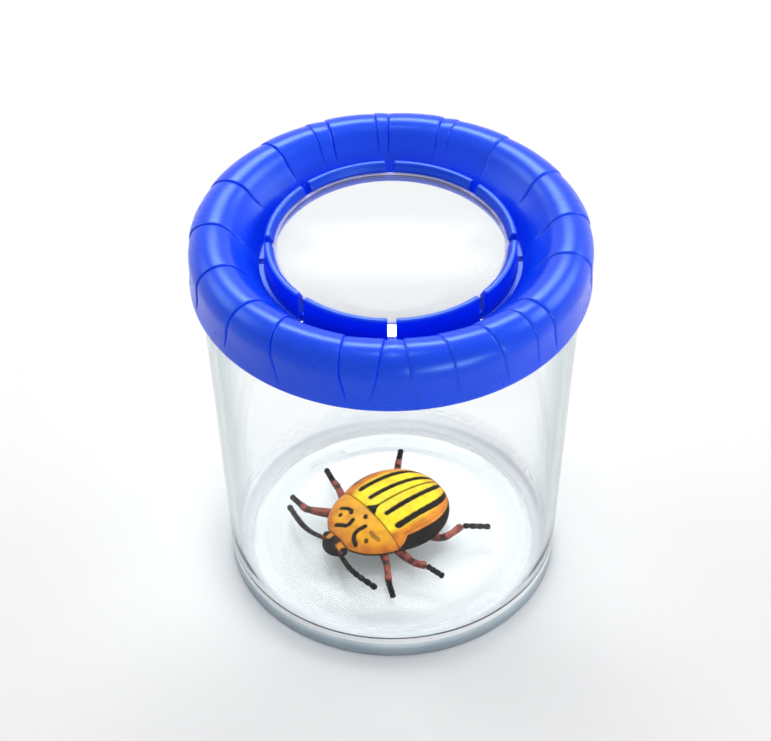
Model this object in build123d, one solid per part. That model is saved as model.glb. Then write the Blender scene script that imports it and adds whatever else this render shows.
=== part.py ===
from build123d import *
import math
import os

os.makedirs("parts", exist_ok=True)

# Bug catcher jar: a clear jar, a push-on lid that holds a magnifying lens, and a toy beetle on the floor.
# Millimetres and degrees, +Z up. The jar stands on z = 0 and its front faces -Y.

# Clear jar
JAR_HEIGHT = 90.0  # foot to rim
JAR_FOOT_RADIUS = 38.0  # outer wall carried down to the foot
JAR_RIM_RADIUS = 41.7  # outer wall at the rim
JAR_WALL = 2.0
FLOOR_TOP = 4.05  # height of the floor's upper face
FOOT_RECESS = 1.6  # hollow under the floor
RECESS_RUN = 7.0  # width over which the hollow rises from the standing ring
FOOT_RING = 3.6  # width of the ring that the jar stands on
FOOT_ROUND = 1.2  # outer edge of the foot
FLOOR_ROUND = 1.6  # inner corner of floor and wall
RIM_ROUND = 0.6

# Raised tick marks on the floor, two rows facing each other
TICK_ROW_RADIUS = 28.4
TICK_ROW_ANGLES = (-54.5, 125.5)
TICK_COUNT = 11
TICK_PITCH = 1.0
TICK_WIDTH = 0.35
TICK_LENGTH = 1.4
TICK_RISE = 0.25
TICK_ROOT = 0.2  # how far a tick is rooted in the floor

# Push-on lid
LID_CLEARANCE = 0.3  # between the jar's rim and the skirt, on each side
SKIRT_WALL = 1.45
SKIRT_DEPTH = 8.1  # how far the skirt hangs below the jar's rim
SKIRT_ROUND = 0.5
CROWN_ROUND = 5.45  # round of the ring-shaped crown
LID_WALL = 1.6
STOP_WIDTH = 1.2  # ledge that rests on the jar's rim
EDGE_DROP = 3.4  # lower edge of the inner slope, below the jar's rim
TROUGH_DEPTH = 4.4  # bottom of the groove round the clips, below the jar's rim
TROUGH_WIDTH = 1.3
CREASE_COUNT = 16
CREASE_START = 3.0  # angle of the first crease from +X
CREASE_WIDTH = 0.5
CREASE_DEPTH = 0.35
CREASE_SLANT = 20.0  # turn of a crease away from the radius
CREASE_STOP = 1.5  # plain band under the creases, at the skirt's lower edge
CREASE_REACH = 1.0  # how far the crease cutter stands clear of the lid

# Lens and the clips that hold it
LENS_RADIUS = 25.35
LENS_RIM = 4.0  # thickness at the edge
LENS_LAND = 0.9  # flat ring round each dome
LENS_RISE = 2.9  # height of the upper dome
LENS_BELLY = 1.2  # height of the lower dome, which is flatter
LENS_CLEARANCE = 0.25  # between the lens and the clips
SEAT_DROP = 4.2  # seat of the lens, below the jar's rim
SEAT_CLEARANCE = 0.1  # between the seat's inner edge and the lower dome
CLIP_COUNT = 8
CLIP_WALL = 1.45
CLIP_RISE = 1.9  # top of the clips, above the jar's rim
CLIP_GAP = 1.8  # slot between two clips, open down through the groove as an air slot
CLIP_ROUND = 0.55
HOOK_REACH = 0.55  # how far a clip leans over the lens
HOOK_LIFT = 0.15  # clear height between lens and hook
HOOK_NOSE = 0.4
HOOK_RAMP = 0.9
SLOT_SHOULDER = 0.2  # floor of the groove left beside an air slot

# Toy beetle: where it stands and which way it looks
BEETLE_X = 0.95
BEETLE_Y = 2.45
BEETLE_HEADING = 216.0
RIM_LEVEL = 3.0  # flat underside of the wing cases, above the jar's floor
FLOOR_GAP = 0.1  # under the feet
SEAM = 0.15  # between neighbouring pieces of the beetle

# Beetle body, lengths along its axis from the middle of the wing cases
WING_CENTRE = 1.0
WING_HALF_LENGTH = 13.8
WING_HALF_WIDTH = 12.7
WING_RISE = 5.2
NECKLINE = 7.5  # where the wing cases meet the shield
SCUTELLUM_LENGTH = 2.6
SCUTELLUM_WIDTH = 3.2
SCUTELLUM_DEPTH = 2.4
SHIELD_CENTRE = 5.5
SHIELD_HALF_LENGTH = 12.3
SHIELD_HALF_WIDTH = 11.3
SHIELD_RISE = 4.3
SHIELD_FRONT = 17.0
BELLY_CENTRE = 2.3
BELLY_HALF_LENGTH = 14.4
BELLY_HALF_WIDTH = 10.4
BELLY_DEPTH = 2.0
HEAD_CENTRE = 16.9
HEAD_HALF_LENGTH = 3.9
HEAD_HALF_WIDTH = 3.8
HEAD_HALF_HEIGHT = 2.0
HEAD_DROP = 0.9  # centre of the head below the wing cases' underside
EYE_RADIUS = 1.0
EYE_FORWARD = 1.0
EYE_SIDE = 3.3
EYE_LIFT = -0.4

# Beetle limbs: points as forward, left and up from the middle of the wing cases' underside
FEELER_POINTS = {
    "left": ((19.0, 3.2, 0.2), (20.1, 7.4, 0.8), (20.2, 11.4, 0.7), (18.4, 17.2, -0.4)),
    "right": ((19.2, -2.4, 0.2), (20.9, -5.2, 0.9), (21.3, -8.9, 0.9), (19.9, -16.6, -0.4)),
}
FEELER_BEADS = 11
FEELER_RADIUS = 0.7
FEELER_WAIST = 0.46
LEG_POINTS = {
    "front_left": ((9.8, 7.6, -1.6), (12.0, 12.3, -0.8), (14.6, 16.6, -1.4), (16.1, 20.4)),
    "front_right": ((10.8, -7.6, -1.6), (16.4, -13.0, -0.8), (16.8, -15.8, -1.4), (16.7, -20.3)),
    "middle_left": ((6.8, 8.0, -1.7), (6.6, 15.0, -0.9), (4.5, 17.6, -1.4), (3.0, 22.2)),
    "middle_right": ((8.4, -8.0, -1.7), (6.7, -14.8, -0.8), (6.2, -17.2, -1.3), (4.7, -22.8)),
    "hind_left": ((-1.0, 8.0, -1.7), (-3.7, 13.0, -1.0), (-9.9, 12.7, -1.2), (-15.7, 16.3)),
    "hind_right": ((-5.0, -8.0, -1.7), (-9.0, -11.8, -0.9), (-10.8, -13.8, -1.4), (-14.0, -17.1)),
}
HIP_RADIUS = 1.2
KNEE_RADIUS = 1.0
ANKLE_RADIUS = 0.85
FOOT_BEADS = 4
FOOT_RADIUS = 0.72
FOOT_WAIST = 0.48

# Heights and radii that several pieces share
crown_radius = JAR_RIM_RADIUS + LID_CLEARANCE + SKIRT_WALL - CROWN_ROUND
lid_radius = crown_radius + CROWN_ROUND
skirt_inside = JAR_RIM_RADIUS + LID_CLEARANCE
skirt_bottom = JAR_HEIGHT - SKIRT_DEPTH
trough_bottom = JAR_HEIGHT - TROUGH_DEPTH
seat_level = JAR_HEIGHT - SEAT_DROP
lens_top = seat_level + LENS_RIM
dome_radius = LENS_RADIUS - LENS_LAND
clip_inside = LENS_RADIUS + LENS_CLEARANCE
clip_outside = clip_inside + CLIP_WALL
clip_top = JAR_HEIGHT + CLIP_RISE
edge_radius = clip_outside + TROUGH_WIDTH
edge_level = JAR_HEIGHT - EDGE_DROP


def turned(outline, rounds=()):
    """Turn a closed outline of radius and height about Z; rounds lists (corner, radius) pairs."""
    face = make_face(outline)
    for corner, radius in rounds:
        vertex = face.vertices().sort_by_distance((corner[0], corner[1], 0))[0]
        face = fillet(vertex, radius)
    return revolve(Plane.XZ * face, Axis.Z)


def wall_radius(height):
    """Radius of the jar's tapered outer wall at a height."""
    return JAR_FOOT_RADIUS + (JAR_RIM_RADIUS - JAR_FOOT_RADIUS) * height / JAR_HEIGHT


def jar_body():
    """One clear moulding: tapered wall, floor, standing ring and the two rows of ticks."""
    ring_inside = JAR_FOOT_RADIUS - FOOT_ROUND - FOOT_RING
    foot_corner = (JAR_FOOT_RADIUS, 0)
    rim_outer = (JAR_RIM_RADIUS, JAR_HEIGHT)
    rim_inner = (JAR_RIM_RADIUS - JAR_WALL, JAR_HEIGHT)
    floor_corner = (wall_radius(FLOOR_TOP) - JAR_WALL, FLOOR_TOP)
    outline = Polyline(
        (0, FOOT_RECESS),
        (ring_inside - RECESS_RUN, FOOT_RECESS),
        (ring_inside, 0),
        foot_corner,
        rim_outer,
        rim_inner,
        floor_corner,
        (0, FLOOR_TOP),
        close=True,
    )
    rounds = (
        (foot_corner, FOOT_ROUND),
        (rim_outer, RIM_ROUND),
        (rim_inner, RIM_ROUND),
        (floor_corner, FLOOR_ROUND),
    )
    jar = turned(outline, rounds)
    tick = Box(TICK_LENGTH, TICK_WIDTH, TICK_RISE + TICK_ROOT)
    tick_level = FLOOR_TOP + (TICK_RISE - TICK_ROOT) / 2
    step = math.degrees(TICK_PITCH / TICK_ROW_RADIUS)
    ticks = []
    for row_angle in TICK_ROW_ANGLES:
        for index in range(TICK_COUNT):
            angle = row_angle + (index - (TICK_COUNT - 1) / 2) * step
            ticks.append(Rot(0, 0, angle) * Pos(TICK_ROW_RADIUS, 0, tick_level) * tick)
    return jar + ticks


def slope_normal():
    """Unit direction, in radius and height, square to the inner slope, which is tangent to the crown."""
    across = crown_radius - edge_radius
    rise = JAR_HEIGHT - edge_level
    reach = math.hypot(across, rise)
    slope = math.atan2(rise, across) + math.asin(CROWN_ROUND / reach)
    return (-math.sin(slope), math.cos(slope))


def crown_arc(offset, start_angle):
    """Arc over the crown, moved out by offset, from start_angle round to the inner slope."""
    normal = slope_normal()
    radius = CROWN_ROUND + offset
    end_angle = math.degrees(math.atan2(normal[1], normal[0]))
    return CenterArc((crown_radius, JAR_HEIGHT), radius, start_angle, end_angle - start_angle)


def slope_point(offset, radius):
    """Point of the inner slope, moved out by offset, at a radius."""
    normal = slope_normal()
    foot = (edge_radius + offset * normal[0], edge_level + offset * normal[1])
    return (radius, foot[1] - (radius - foot[0]) * normal[0] / normal[1])


def crease_band():
    """Ring just under and outside the lid's outer face, from skirt to slope."""
    outer = crown_arc(CREASE_REACH, 0)
    inner = crown_arc(-CREASE_DEPTH, 0)
    band_bottom = skirt_bottom + CREASE_STOP
    outer_end = slope_point(CREASE_REACH, edge_radius)
    inner_end = slope_point(-CREASE_DEPTH, edge_radius)
    skirt = Polyline(
        inner @ 0,
        (lid_radius - CREASE_DEPTH, band_bottom),
        (lid_radius + CREASE_REACH, band_bottom),
        outer @ 0,
    )
    slope = Polyline(outer @ 1, outer_end, inner_end, inner @ 1)
    return turned(skirt + outer + slope + inner)


def lid_cap():
    """One moulding: skirt, crown with creases, slope, groove, lens seat and the ring of clips."""
    stop_inside = JAR_RIM_RADIUS - STOP_WIDTH
    under_radius = CROWN_ROUND - LID_WALL
    under_angle = math.degrees(math.acos((stop_inside - crown_radius) / under_radius))
    outer = crown_arc(0, 0)
    under = crown_arc(-LID_WALL, under_angle)
    bottom = trough_bottom - LID_WALL
    seat_inside = dome_radius + SEAT_CLEARANCE
    groove_outside = edge_radius + LID_WALL
    skirt_corner = (lid_radius, skirt_bottom)
    skirt = Polyline(
        under @ 0,
        (stop_inside, JAR_HEIGHT),
        (skirt_inside, JAR_HEIGHT),
        (skirt_inside, skirt_bottom),
        skirt_corner,
        outer @ 0,
    )
    groove = Polyline(
        outer @ 1,
        (edge_radius, edge_level),
        (edge_radius, trough_bottom),
        (clip_inside, trough_bottom),
        (clip_inside, seat_level),
        (seat_inside, seat_level),
        (seat_inside, bottom),
        (groove_outside, bottom),
        slope_point(-LID_WALL, groove_outside),
        under @ 1,
    )
    cap = turned(skirt + outer + groove + under, ((skirt_corner, SKIRT_ROUND),))

    crease_length = 2 * (lid_radius - edge_radius)
    crease_height = 2 * (SKIRT_DEPTH + CROWN_ROUND)
    crease_plate = Rot(0, 0, CREASE_SLANT) * Box(crease_length, CREASE_WIDTH, crease_height)
    crease_plate = Pos((edge_radius + lid_radius) / 2, 0, JAR_HEIGHT) * crease_plate
    plates = [
        Rot(0, 0, CREASE_START + index * 360 / CREASE_COUNT) * crease_plate
        for index in range(CREASE_COUNT)
    ]
    cap = cap - (crease_band() & Part() + plates)

    hook_under = lens_top + HOOK_LIFT
    hook_radius = clip_inside - HOOK_REACH
    clip_corner = (clip_outside, clip_top)
    clip_line = Polyline(
        (clip_inside, trough_bottom),
        (clip_outside, trough_bottom),
        clip_corner,
        (clip_inside, clip_top),
        (clip_inside, hook_under + HOOK_NOSE + HOOK_RAMP),
        (hook_radius, hook_under + HOOK_NOSE),
        (hook_radius, hook_under),
        (clip_inside, hook_under),
        close=True,
    )
    clips = turned(clip_line, ((clip_corner, CLIP_ROUND), ((clip_inside, clip_top), CLIP_ROUND)))
    gap_depth = clip_top - bottom
    gap = Box(edge_radius, CLIP_GAP, 2 * gap_depth)
    gaps = [
        Rot(0, 0, index * 360 / CLIP_COUNT) * Pos(edge_radius, 0, clip_top) * gap
        for index in range(CLIP_COUNT)
    ]
    slot_length = edge_radius - clip_inside - 2 * SLOT_SHOULDER
    slot = Box(slot_length, CLIP_GAP, 2 * LID_WALL)
    slots = [
        Rot(0, 0, index * 360 / CLIP_COUNT) * Pos((edge_radius + clip_inside) / 2, 0, bottom) * slot
        for index in range(CLIP_COUNT)
    ]
    return cap + (clips - gaps) - slots


def dome_height(rise, radius):
    """Height at a radius of a lens dome with a given rise, from its edge."""
    sphere = (dome_radius**2 + rise**2) / (2 * rise)
    return math.sqrt(sphere**2 - radius**2) - (sphere - rise)


def lens():
    """Biconvex magnifier with a flat land round each dome; the lower dome is flatter."""
    half = dome_radius / 2
    upper_half = (half, lens_top + dome_height(LENS_RISE, half))
    lower_half = (half, seat_level - dome_height(LENS_BELLY, half))
    upper = ThreePointArc((dome_radius, lens_top), upper_half, (0, lens_top + LENS_RISE))
    lower = ThreePointArc((0, seat_level - LENS_BELLY), lower_half, (dome_radius, seat_level))
    edge = Polyline(lower @ 1, (LENS_RADIUS, seat_level), (LENS_RADIUS, lens_top), upper @ 0)
    return turned(lower + edge + upper + Line(upper @ 1, lower @ 0))


def ellipsoid(half_length, half_width, half_height):
    """Ellipsoid round the origin."""
    return scale(Sphere(1), by=(half_length, half_width, half_height))


def limb(points, radii):
    """Round limb through points, with one radius for each."""
    sections = []
    last = len(points) - 1
    for index, point in enumerate(points):
        along = Vector(*points[min(index + 1, last)]) - Vector(*points[max(index - 1, 0)])
        across = Vector(0, 0, 1).cross(along)
        sections.append(Plane(origin=point, x_dir=across, z_dir=along) * Circle(radii[index]))
    return loft(sections, ruled=True)


def beads(path, count, radius, waist):
    """Row of beads along a path, thinning to a waist between two beads."""
    steps = 2 * count
    points = [path @ (index / steps) for index in range(steps + 1)]
    radii = [waist if index % 2 == 0 else radius for index in range(steps + 1)]
    return limb([tuple(point) for point in points], radii)


def wing_cases():
    """Domed back, cut at the neckline and along the middle, with room for the scutellum."""
    dome = Pos(WING_CENTRE, 0, 0) * ellipsoid(WING_HALF_LENGTH, WING_HALF_WIDTH, WING_RISE)
    dome = split(dome, Plane.XY, keep=Keep.TOP)
    dome = split(dome, Plane((NECKLINE, 0, 0), z_dir=(1, 0, 0)), keep=Keep.BOTTOM)
    wedge_back = NECKLINE - SCUTELLUM_LENGTH
    wedge = make_face(
        Polyline(
            (wedge_back, 0),
            (NECKLINE, SCUTELLUM_WIDTH / 2),
            (NECKLINE, -SCUTELLUM_WIDTH / 2),
            close=True,
        )
    )
    wedge_bottom = WING_RISE - SCUTELLUM_DEPTH
    scutellum = Pos(0, 0, wedge_bottom) * extrude(wedge, WING_RISE) & dome
    pocket = extrude(offset(wedge, SEAM, kind=Kind.INTERSECTION), WING_RISE + SEAM)
    pocket = Pos(0, 0, wedge_bottom - SEAM) * pocket
    middle = Box(4 * WING_HALF_LENGTH, SEAM, 4 * WING_RISE)
    halves = (dome - pocket - middle).solids().sort_by(Axis.Y)
    return {"wing_case_right": halves[0], "wing_case_left": halves[-1], "scutellum": scutellum}


def shield():
    """Broad shield between the wing cases and the head."""
    dome = Pos(SHIELD_CENTRE, 0, 0) * ellipsoid(SHIELD_HALF_LENGTH, SHIELD_HALF_WIDTH, SHIELD_RISE)
    dome = split(dome, Plane.XY, keep=Keep.TOP)
    dome = split(dome, Plane((NECKLINE + SEAM, 0, 0), z_dir=(1, 0, 0)), keep=Keep.TOP)
    return split(dome, Plane((SHIELD_FRONT, 0, 0), z_dir=(1, 0, 0)), keep=Keep.BOTTOM)


def beetle():
    """All pieces of the beetle, standing at the origin and looking along +X."""
    pieces = wing_cases()
    pieces["shield"] = shield()
    belly = Pos(BELLY_CENTRE, 0, 0) * ellipsoid(BELLY_HALF_LENGTH, BELLY_HALF_WIDTH, BELLY_DEPTH)
    pieces["belly"] = split(belly, Plane.XY, keep=Keep.BOTTOM)
    head = Pos(HEAD_CENTRE, 0, -HEAD_DROP) * ellipsoid(HEAD_HALF_LENGTH, HEAD_HALF_WIDTH, HEAD_HALF_HEIGHT)
    pieces["head"] = split(head, Plane((SHIELD_FRONT + SEAM, 0, 0), z_dir=(1, 0, 0)), keep=Keep.TOP)
    trunk = [pieces[name] for name in ("belly", "shield", "wing_case_left", "wing_case_right")]
    for side, side_name in ((1, "left"), (-1, "right")):
        eye = Pos(HEAD_CENTRE + EYE_FORWARD, side * EYE_SIDE, EYE_LIFT) * Sphere(EYE_RADIUS)
        pieces[f"eye_{side_name}"] = eye - pieces["head"] - pieces["shield"]
        feeler = beads(Spline(*FEELER_POINTS[side_name]), FEELER_BEADS, FEELER_RADIUS, FEELER_WAIST)
        pieces[f"antenna_{side_name}"] = feeler - pieces["head"] - pieces[f"eye_{side_name}"]
    toe_level = FLOOR_GAP + FOOT_RADIUS - RIM_LEVEL
    for leg_name, (hip, knee, ankle, toe) in LEG_POINTS.items():
        leg = limb((hip, knee, ankle), (HIP_RADIUS, KNEE_RADIUS, ANKLE_RADIUS)) - trunk
        foot = beads(Line(ankle, (*toe, toe_level)), FOOT_BEADS, FOOT_RADIUS, FOOT_WAIST) - leg
        pieces[f"leg_{leg_name}"] = leg
        pieces[f"foot_{leg_name}"] = foot
    return pieces


nodes = {"jar_body": jar_body(), "lid_cap": lid_cap(), "lens": lens()}
standing = Pos(BEETLE_X, BEETLE_Y, FLOOR_TOP + RIM_LEVEL) * Rot(0, 0, BEETLE_HEADING)
for name, piece in beetle().items():
    nodes[f"beetle_{name}"] = standing * piece

for name, piece in nodes.items():
    export_step(piece, f"parts/{name}.step")
    print(name, len(piece.solids()), "solid", round(piece.volume, 1), "mm3")
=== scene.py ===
import math

import bmesh
import bpy
import numpy as np
from mathutils import Matrix, Vector


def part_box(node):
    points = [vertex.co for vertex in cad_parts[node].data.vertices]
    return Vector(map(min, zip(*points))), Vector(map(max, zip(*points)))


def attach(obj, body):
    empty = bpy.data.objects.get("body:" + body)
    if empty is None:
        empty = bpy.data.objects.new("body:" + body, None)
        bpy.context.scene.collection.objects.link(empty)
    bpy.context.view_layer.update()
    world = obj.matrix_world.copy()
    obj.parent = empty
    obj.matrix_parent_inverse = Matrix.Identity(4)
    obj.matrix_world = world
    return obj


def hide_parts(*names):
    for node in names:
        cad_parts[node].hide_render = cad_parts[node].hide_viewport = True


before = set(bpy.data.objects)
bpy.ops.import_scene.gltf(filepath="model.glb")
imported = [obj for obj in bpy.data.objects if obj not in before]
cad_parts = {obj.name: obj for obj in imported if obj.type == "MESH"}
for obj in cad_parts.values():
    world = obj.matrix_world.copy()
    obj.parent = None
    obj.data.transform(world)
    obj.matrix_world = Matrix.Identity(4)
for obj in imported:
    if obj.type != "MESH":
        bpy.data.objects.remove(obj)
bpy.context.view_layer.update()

# Looks of a bug catcher jar: clear jar, blue ring lid with creases, magnifier and a striped toy beetle.
# Shapes are worked out in millimetres and degrees; add_piece writes them in metres.
MM = 0.001


def node_box(node):
    """Lowest and highest corner of a node, in millimetres."""
    low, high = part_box(node)
    return np.array(low) / MM, np.array(high) / MM


# Sizes that the frame gives
jar_height = node_box("jar_body")[1][2]
lid_low, lid_high = node_box("lid_cap")
lens_low, lens_high = node_box("lens")
lid_radius = lid_high[0]
crown_round = lid_high[2] - jar_height
crown_radius = lid_radius - crown_round
skirt_bottom = lid_low[2]
lens_radius = lens_high[0]

# Clear jar
JAR_FOOT_RADIUS = 38.0
JAR_RIM_RADIUS = 41.7
JAR_WALL = 2.0
FLOOR_TOP = 4.05
FOOT_RECESS = 1.6
RECESS_RUN = 7.0  # width over which the hollow under the floor rises
FOOT_RING = 4.3
FOOT_ROUND = 0.5
FOOT_SOFT = 0.3  # round of the recess under the floor
FLOOR_ROUND = 1.6
RIM_ROUND = 0.6
WALL_STEP = 6.0  # longest side of the jar's outline
JAR_ANGLE_STEP = 1.5
SHADE_HEIGHT = 1.2  # height over which the foot's painted shade, and the lamp light it holds back, end
LINE_HEIGHT = 0.26  # height of a painted shade: the dark line round the foot's lower edge
LINE_SOFT = 0.14
CORNER_REACH = 1.8  # how far the painted highlight, a milky line along the floor's corner, reaches
CORNER_SOFT = 1.2
CORNER_STRENGTH = 0.6
ARC_HEIGHT = 5.2  # height of a painted highlight: the pale arc that the floor's edge throws on the wall
ARC_HALF = 0.6
ARC_SOFT = 0.45
ARC_STRENGTH = 1.0
ARC_STEPS = 9
INNER_RINGS = 9  # mesh rings of the floor inside the ticks
JAR_CRISP = 30.0

# Plain ticks raised on the jar's floor
TICK_ROW_RADIUS = 28.4
TICK_ROW_ANGLES = (-54.5, 125.5)
TICK_COUNT = 11
TICK_PITCH = 1.0
TICK_WIDTH = 0.35
TICK_LENGTH = 1.4
TICK_RISE = 0.04
TICK_SOFT = 0.25  # width over which a tick's edge falls away
TICK_COLUMNS = 10  # mesh columns for each pitch
TICK_RINGS = 34

# Ring lid
SKIRT_WALL = 1.45
SKIRT_ROUND = 0.5
SKIRT_LIP = 0.3
LID_WALL = 1.6
STOP_WIDTH = 1.2
EDGE_DROP = 3.4
EDGE_ROUND = 0.45
TROUGH_DEPTH = 4.4
TROUGH_WIDTH = 1.3
LID_STEP = 0.7  # longest side of the lid's outline
CROWN_STEPS = 36

# Creases of the lid: angles low on the skirt, at the shoulder and low on the slope, and share of the
# full depth
CREASES = (
    (-184.0, -183.0, -180.0, 1.0),
    (-162.0, -161.0, -160.0, 1.0),
    (-144.0, -142.0, -138.0, 1.0),
    (-122.0, -125.0, -130.0, 0.8),
    (-102.0, -104.5, -107.0, 0.9),
    (-97.5, -94.5, -90.5, 0.8),
    (-81.5, -85.0, -87.5, 0.8),
    (-71.0, -72.5, -75.5, 0.6),
    (-56.0, -58.0, -63.0, 1.0),
    (-45.0, -46.5, -49.0, 0.5),
    (-37.5, -39.0, -42.0, 1.0),
    (-10.0, -12.0, -18.0, 1.0),
    (9.0, 7.0, 2.0, 1.0),
    (31.0, 29.0, 24.5, 1.0),
    (52.0, 51.0, 49.0, 1.0),
    (68.5, 68.0, 67.5, 0.5),
    (73.5, 73.0, 72.0, 0.9),
    (89.5, 90.0, 90.5, 0.9),
    (95.5, 95.0, 94.0, 0.9),
    (109.0, 110.0, 112.5, 1.0),
    (116.0, 116.5, 117.5, 0.4),
    (133.5, 133.0, 132.0, 1.0),
    (157.5, 156.5, 154.0, 1.0),
)
CREASE_GROOVE = 0.17  # depth of the fine groove
CREASE_WIDTH = 0.13  # half width of the fine groove
CREASE_DIP = 0.12  # how far the surface rolls down beside a groove
CREASE_ROLL = 2.2  # distance over which it rolls
SEGMENT_LEAN = 0.26  # rise of a segment's front end over its rear end
CREASE_FOOT = 1.5  # plain band at the skirt's lower edge
CREASE_FADE = 3.5  # distance over which a crease runs out
COLUMN_WIDTH = 0.7  # mean width of a mesh column on the lid
COLUMN_CROWD = 0.82  # how strongly columns crowd towards the creases
LEAST_COLUMNS = 10

# Lens and the clips round it
LENS_RIM = 4.0
LENS_LAND = 0.9
LENS_CLEARANCE = 0.25
LENS_BEVEL = 0.2
LAND_SOFT = 0.12  # width over which the milky land ends at the dome
LENS_RINGS = 28
LENS_ANGLES = 240
LENS_CRISP = 12.0
LENS_SHADE = 0.32  # painted shade: grey of the lens at its rim
LENS_SHADE_POWER = 3  # how fast that grey grows from the middle
SEAT_DROP = 4.2
SEAT_CLEARANCE = 0.1
CLIP_COUNT = 8
CLIP_WALL = 1.45
CLIP_RISE = 1.9
CLIP_GAP = 1.8
CLIP_ROUND = 0.55
CLIP_FOOT_ROUND = 0.35
CLIP_END_ROUND = 0.4
CLIP_STATIONS = 44
CLIP_END_STEPS = 6
SEAT_STEPS = 4
HOOK_REACH = 0.55
HOOK_LIFT = 0.15
HOOK_NOSE = 0.4
HOOK_RAMP = 0.9
HOOK_SOFT = 0.12
ROOTED = 0.12  # how far one part of the lid is rooted in the next

# Toy beetle in its own frame: x forward, y left, z up from the underside of the wing cases
BEETLE_X = 0.95
BEETLE_Y = 2.45
BEETLE_HEADING = 216.0
RIM_LEVEL = 3.0
FLOOR_GAP = 0.1
SEAM = 0.15
WING_CENTRE = 1.0
WING_HALF_LENGTH = 13.8
WING_HALF_WIDTH = 12.7
WING_RISE = 5.2
NECKLINE = 7.5
SCUTELLUM_LENGTH = 2.6
SCUTELLUM_WIDTH = 3.2
SCUTELLUM_THICK = 1.2
SCUTELLUM_SWELL = 0.12
SCUTELLUM_ROWS = 24
SCUTELLUM_COLUMNS = 25
SHIELD_CENTRE = 5.5
SHIELD_HALF_LENGTH = 12.3
SHIELD_HALF_WIDTH = 11.3
SHIELD_RISE = 4.3
SHIELD_FRONT = 17.0
BELLY_CENTRE = 2.3
BELLY_HALF_LENGTH = 14.4
BELLY_HALF_WIDTH = 10.4
BELLY_DEPTH = 2.0
BELLY_RINGS = 6
BELLY_GROOVE = 0.12
BELLY_GROOVE_POWER = 4  # how narrow its grooves are
BELLY_INK = 0.92
HEAD_CENTRE = 16.9
HEAD_HALF_LENGTH = 3.9
HEAD_HALF_WIDTH = 3.8
HEAD_HALF_HEIGHT = 2.0
HEAD_DROP = 0.9
CHEEK_LENGTH = 1.5
CHEEK_SIDE = 1.6  # where a cheek starts beside the middle line
CHEEK_SOFT = 0.6
CHEEK_WARM = 0.5
EYE_RADIUS = 1.0
EYE_FORWARD = 1.0
EYE_SIDE = 3.3
EYE_LIFT = -0.4
DOME_STATIONS = 180
DOME_COLUMNS = 160
FLAT_COLUMNS = 12
BALL_ROWS = 25
BALL_COLUMNS = 40

# Stripes of a wing case: angle from the middle seam at the front, straight and square part of its change
# from there to the tail, half width and where the stripe starts
STRIPES = ((15.5, -6.8, 6.3, 0.52, 5.2), (37.5, -15.5, 22.0, 0.8, 4.9))
STRIPE_END = -11.0
STRIPE_FLANK = 0.3  # width of the brown flank beside a stripe
STRIPE_FLANK_INK = 0.3
STRIPE_WAVER = 0.14  # how far a stripe's edge wavers
STRIPE_WAVES = 1.7  # turn of the waver for each millimetre, in radians
STRIPE_SECOND = 0.7  # turn of its second wave, as a share of the first
STRIPE_GROOVE = 0.14
STRIPE_SOFT = 0.22
STRIPE_TAIL = 8.0  # body half width below which stripes grow thinner
STRIPE_LEAST = 0.3  # share of its width that a stripe keeps
MARGIN_ANGLE = 57.0  # where the black side of a wing case starts
MARGIN_TAIL = 7.0  # added to that angle at the tail
MARGIN_FRONT = 4.6  # forward of this, the black side tapers away
MARGIN_TAPER = 8.0  # degrees for each millimetre of that taper
MARGIN_RIDGE = 0.1  # rise of the ridge along the black side
MARGIN_RIDGE_HALF = 0.2
MARGIN_RIDGE_SOFT = 0.5
SIDE_LINE_LIFT = 5.5  # angle between the black side and the fine line above it
SIDE_LINE_INK = 0.45
SIDE_LINE_HALF = 0.06
SIDE_LINE_SOFT = 0.16
SEAM_DIP = 0.2  # how far the edges roll in along the seams
SEAM_ROLL = 0.3
SEAM_INK = 0.6  # darkness of the line along the middle seam
SEAM_INK_HALF = 0.2
SEAM_INK_SOFT = 0.25
WARM_ANGLES = (38.0, 47.0)  # yellow turns to orange between these angles
WARM_TAIL = (-7.0, -13.0)  # and along the back between these places
WARM_TAIL_SHARE = 0.8

# Dark marks of the shield: share of full black, and a stroke of forward and left points
SHIELD_MARKS = (
    (1.0, ((11.9, -5.8), (11.1, -4.6), (10.8, -3.4), (11.3, -2.7))),
    (1.0, ((13.3, -4.25), (13.4, -4.15))),
    (1.0, ((15.6, -2.7), (14.9, -1.5), (14.4, -0.5), (13.5, -0.3), (12.2, -0.7))),
    (1.0, ((9.4, 0.5), (9.7, 0.8))),
    (1.0, ((11.2, 2.8), (13.0, 2.5), (14.2, 2.7), (15.1, 3.5), (15.4, 4.8))),
    (0.9, ((13.1, 5.8), (13.2, 5.9))),
    (0.6, ((11.1, 5.0), (11.2, 6.0), (10.8, 7.3))),
)
MARK_HALF_WIDTH = 0.42
MARK_SOFT = 0.2
MARK_GROOVE = 0.06
SHIELD_EDGE = 0.5  # height of the dark band at the shield's lower edge
SHIELD_WARM = 1.3  # strength of the deeper orange above that band
SHIELD_WARM_HALF = 1.0
SHIELD_WARM_SOFT = 2.0
SHIELD_FRONT_WARM = 0.8  # and of that behind the front edge
SHIELD_FRONT_HALF = 0.5
SHIELD_FRONT_SOFT = 2.5

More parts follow.
